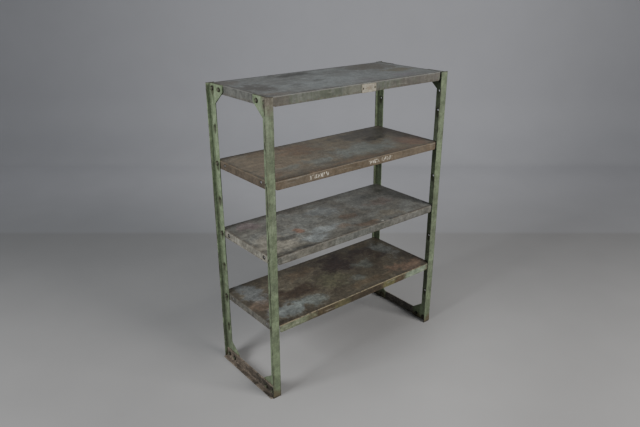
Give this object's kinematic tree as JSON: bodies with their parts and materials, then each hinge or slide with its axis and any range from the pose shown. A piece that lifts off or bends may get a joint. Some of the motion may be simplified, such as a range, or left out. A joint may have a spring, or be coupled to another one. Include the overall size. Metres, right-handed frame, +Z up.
{
  "type": "steel shelving rack",
  "caption": "Static steel shelving rack: T-section posts with gussets, pressed trays bolted between them as shelves, and angle rails on the floor.",
  "frame": {"origin": "on the floor under the middle of the rack", "axes": "+Z up, X along the shelves, -Y towards the front with the label plate"},
  "size_m": [1.066, 0.4478, 1.3719],
  "materials": {
    "post_paint": "worn sage green paint, chipped and rusty towards the feet",
    "tray_1_paint": "worn grey paint with dull streaks",
    "tray_2_paint": "worn brownish grey paint",
    "tray_3_paint": "worn grey paint with rust stains",
    "tray_4_paint": "mottled grey and dark brown paint, rust-stained, with green at its right end",
    "rail_left_steel": "rusty brown, nearly black at the front",
    "rail_right_steel": "nearly black, dull",
    "bolt_steel": "dark oxidised steel",
    "label_paint": "plain cream plate, scuffed"
  },
  "bodies": {
    "root": {"tray_1": "tray_1_paint", "tray_1_end_left": "tray_1_paint", "tray_1_end_right": "tray_1_paint", "tray_2": "tray_2_paint", "tray_2_end_left": "tray_2_paint", "tray_2_end_right": "tray_2_paint", "tray_3": "tray_3_paint", "tray_3_end_left": "tray_3_paint", "tray_3_end_right": "tray_3_paint", "tray_4": "tray_4_paint", "tray_4_end_left": "tray_4_paint", "tray_4_end_right": "tray_4_paint", "rail_left": "rail_left_steel", "post_front_left": "post_paint", "gusset_top_front_left": "post_paint", "gusset_foot_front_left": "post_paint", "bolt_tray_1_front_left": "bolt_steel", "bolt_tray_2_front_left": "bolt_steel", "bolt_tray_3_front_left": "bolt_steel", "bolt_tray_4_front_left": "bolt_steel", "bolt_gusset_front_left": "bolt_steel", "bolt_rail_post_front_left": "bolt_steel", "bolt_rail_gusset_front_left": "bolt_steel", "post_back_left": "post_paint", "gusset_top_back_left": "post_paint", "gusset_foot_back_left": "post_paint", "bolt_tray_1_back_left": "bolt_steel", "bolt_tray_2_back_left": "bolt_steel", "bolt_tray_3_back_left": "bolt_steel", "bolt_tray_4_back_left": "bolt_steel", "bolt_gusset_back_left": "bolt_steel", "bolt_rail_post_back_left": "bolt_steel", "bolt_rail_gusset_back_left": "bolt_steel", "rail_right": "rail_right_steel", "post_front_right": "post_paint", "gusset_top_front_right": "post_paint", "gusset_foot_front_right": "post_paint", "bolt_tray_1_front_right": "bolt_steel", "bolt_tray_2_front_right": "bolt_steel", "bolt_tray_3_front_right": "bolt_steel", "bolt_tray_4_front_right": "bolt_steel", "bolt_gusset_front_right": "bolt_steel", "bolt_rail_post_front_right": "bolt_steel", "bolt_rail_gusset_front_right": "bolt_steel", "post_back_right": "post_paint", "gusset_top_back_right": "post_paint", "gusset_foot_back_right": "post_paint", "bolt_tray_1_back_right": "bolt_steel", "bolt_tray_2_back_right": "bolt_steel", "bolt_tray_3_back_right": "bolt_steel", "bolt_tray_4_back_right": "bolt_steel", "bolt_gusset_back_right": "bolt_steel", "bolt_rail_post_back_right": "bolt_steel", "bolt_rail_gusset_back_right": "bolt_steel", "label_plate": "label_paint", "label_rivet_left": "bolt_steel", "label_rivet_right": "bolt_steel"}
  },
  "joints": []
}
